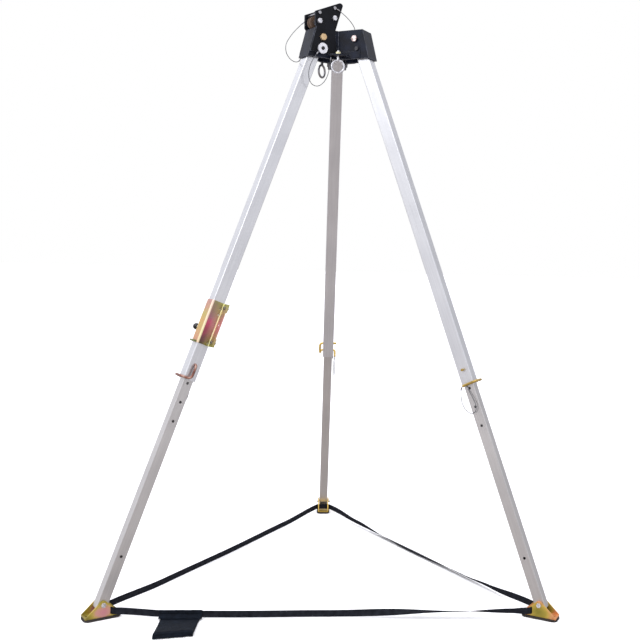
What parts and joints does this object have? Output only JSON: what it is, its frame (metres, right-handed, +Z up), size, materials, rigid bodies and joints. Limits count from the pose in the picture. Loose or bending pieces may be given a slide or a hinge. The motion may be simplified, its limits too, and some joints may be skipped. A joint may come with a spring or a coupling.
{
  "type": "rescue_tripod",
  "caption": "Rescue tripod with telescopic square aluminium legs, black star head, pulley bracket, zinc lock pins, swivel feet and a webbing base strap",
  "frame": {"origin": "on the floor, under the middle of the whole footprint's box", "axes": "+Z up; +Y from the front strap with the pouch towards the back leg; +X from the leg with the winch bracket to the other front leg"},
  "size_m": [1.7622, 1.646, 2.3829],
  "materials": {
    "black_coat": "black powder coat",
    "dark_bolt": "black oxide",
    "zinc_steel": "bright zinc",
    "chrome": "polished",
    "brass_zinc": "yellow passivated",
    "yellow_zinc": "iridescent yellow zinc",
    "leg_aluminium": "anodised extrusion",
    "pulley_nylon": "machined brown nylon",
    "black_plastic": "moulded",
    "pad_rubber": "ribbed rubber",
    "wire_rope": "twisted galvanised wire",
    "black_webbing": "woven webbing",
    "black_nylon": "coated nylon cloth"
  },
  "bodies": {
    "head": {"head_frame": "black_coat", "corner_plates": "black_coat", "corner_bolts": "dark_bolt", "eye_bolt_front": "zinc_steel", "eye_bolt_left": "zinc_steel", "eye_nuts": "brass_zinc", "bracket_plates": "black_coat", "pulley_axles": "zinc_steel", "keeper_bolts": "zinc_steel", "pulley_spacers": "zinc_steel", "pivot_bolt_left": "brass_zinc", "pivot_bolts": "chrome", "pivot_nuts": "zinc_steel", "pivot_spacers": "zinc_steel", "lanyard_rear": "wire_rope", "lanyard_front": "wire_rope", "lanyard_quick_pin": "wire_rope", "strap_front": "black_webbing", "strap_left": "black_webbing", "strap_right": "black_webbing", "strap_pouch": "black_nylon"},
    "pulley_outer": {"pulley_outer": "pulley_nylon"},
    "pulley_inner": {"pulley_inner": "pulley_nylon"},
    "quick_pin": {"quick_pin": "chrome"},
    "quick_pin_button": {"quick_pin_button": "black_plastic"},
    "upper_left": {"upper_leg_left": "leg_aluminium", "pivot_bush_left": "brass_zinc", "pin_lanyard_left": "wire_rope", "winch_bracket": "yellow_zinc", "winch_clamps": "yellow_zinc", "clamp_bolts": "zinc_steel", "plunger_seat_nut": "zinc_steel"},
    "lower_left": {"lower_leg_left": "leg_aluminium", "leg_glide_left": "black_plastic"},
    "foot_left": {"foot_bracket_left": "yellow_zinc", "foot_pad_left": "pad_rubber", "ankle_bolt_left": "zinc_steel"},
    "pin_left": {"lock_pin_left": "yellow_zinc"},
    "upper_right": {"upper_leg_right": "leg_aluminium", "pivot_bush_right": "brass_zinc", "pin_lanyard_right": "wire_rope"},
    "lower_right": {"lower_leg_right": "leg_aluminium", "leg_glide_right": "black_plastic"},
    "foot_right": {"foot_bracket_right": "yellow_zinc", "foot_pad_right": "pad_rubber", "ankle_bolt_right": "zinc_steel"},
    "pin_right": {"lock_pin_right": "yellow_zinc"},
    "upper_back": {"upper_leg_back": "leg_aluminium", "pivot_bush_back": "brass_zinc", "pin_lanyard_back": "wire_rope"},
    "lower_back": {"lower_leg_back": "leg_aluminium", "leg_glide_back": "black_plastic"},
    "foot_back": {"foot_bracket_back": "yellow_zinc", "foot_pad_back": "pad_rubber", "ankle_bolt_back": "zinc_steel"},
    "pin_back": {"lock_pin_back": "yellow_zinc"},
    "plunger": {"plunger_pin": "zinc_steel", "plunger_knob": "black_plastic"}
  },
  "joints": [
    {"name": "fold_left", "type": "hinge", "parent": "head", "child": "upper_left", "pos_m": [-0.08747, -0.23256, 2.23004], "axis": [0.5, -0.866, 0], "range_deg": [0, 21], "deforming": ["strap_front", "strap_pouch"]},
    {"name": "slide_left", "type": "slide", "parent": "upper_left", "child": "lower_left", "axis": [0.3104, 0.1792, 0.9336], "range_m": [-0.225, 0.225]},
    {"name": "ankle_left", "type": "hinge", "parent": "lower_left", "child": "foot_left", "pos_m": [-0.81153, -0.6506, 0.052], "axis": [-0.5, 0.866, 0], "range_deg": [-25, 25]},
    {"name": "pin_swing_left", "type": "hinge", "parent": "upper_left", "child": "pin_left", "pos_m": [-0.52755, -0.48664, 0.90623], "axis": [-0.5, 0.866, 0], "range_deg": [0, 110], "deforming": ["pin_lanyard_left"]},
    {"name": "fold_right", "type": "hinge", "parent": "head", "child": "upper_right", "pos_m": [0.08747, -0.23256, 2.23004], "axis": [0.5, 0.866, 0], "range_deg": [0, 21], "deforming": ["strap_right"]},
    {"name": "slide_right", "type": "slide", "parent": "upper_right", "child": "lower_right", "axis": [-0.3104, 0.1792, 0.9336], "range_m": [-0.225, 0.225]},
    {"name": "ankle_right", "type": "hinge", "parent": "lower_right", "child": "foot_right", "pos_m": [0.81153, -0.6506, 0.052], "axis": [-0.5, -0.866, 0], "range_deg": [-25, 25]},
    {"name": "pin_swing_right", "type": "hinge", "parent": "upper_right", "child": "pin_right", "pos_m": [0.52755, -0.48664, 0.90623], "axis": [-0.5, -0.866, 0], "range_deg": [0, 110], "deforming": ["pin_lanyard_right"]},
    {"name": "fold_back", "type": "hinge", "parent": "head", "child": "upper_back", "pos_m": [0, -0.08106, 2.23004], "axis": [-1, 0, 0], "range_deg": [0, 21], "deforming": ["strap_left"]},
    {"name": "slide_back", "type": "slide", "parent": "upper_back", "child": "lower_back", "axis": [0, -0.3584, 0.9336], "range_m": [-0.225, 0.225]},
    {"name": "ankle_back", "type": "hinge", "parent": "lower_back", "child": "foot_back", "pos_m": [0, 0.75501, 0.052], "axis": [1, 0, 0], "range_deg": [-25, 25]},
    {"name": "pin_swing_back", "type": "hinge", "parent": "upper_back", "child": "pin_back", "pos_m": [0, 0.42711, 0.90623], "axis": [1, 0, 0], "range_deg": [0, 110], "deforming": ["pin_lanyard_back"]},
    {"name": "pulley_outer_spin", "type": "hinge", "parent": "head", "child": "pulley_outer", "pos_m": [-0.10306, -0.24156, 2.29404], "axis": [0.5, -0.866, 0], "continuous": true},
    {"name": "pulley_inner_spin", "type": "hinge", "parent": "head", "child": "pulley_inner", "pos_m": [-0.04244, -0.20656, 2.31604], "axis": [0.5, -0.866, 0], "continuous": true},
    {"name": "quick_pin_pull", "type": "slide", "parent": "head", "child": "quick_pin", "axis": [0.5, -0.866, 0], "range_m": [0, 0.035], "deforming": ["lanyard_quick_pin"]},
    {"name": "quick_pin_press", "type": "slide", "parent": "quick_pin", "child": "quick_pin_button", "axis": [-0.5, 0.866, 0], "range_m": [0, 0.003], "stiffness_N_per_m": 500},
    {"name": "plunger_pull", "type": "slide", "parent": "upper_left", "child": "plunger", "axis": [-0.5, 0.866, 0], "range_m": [0, 0.01], "stiffness_N_per_m": 400}
  ]
}
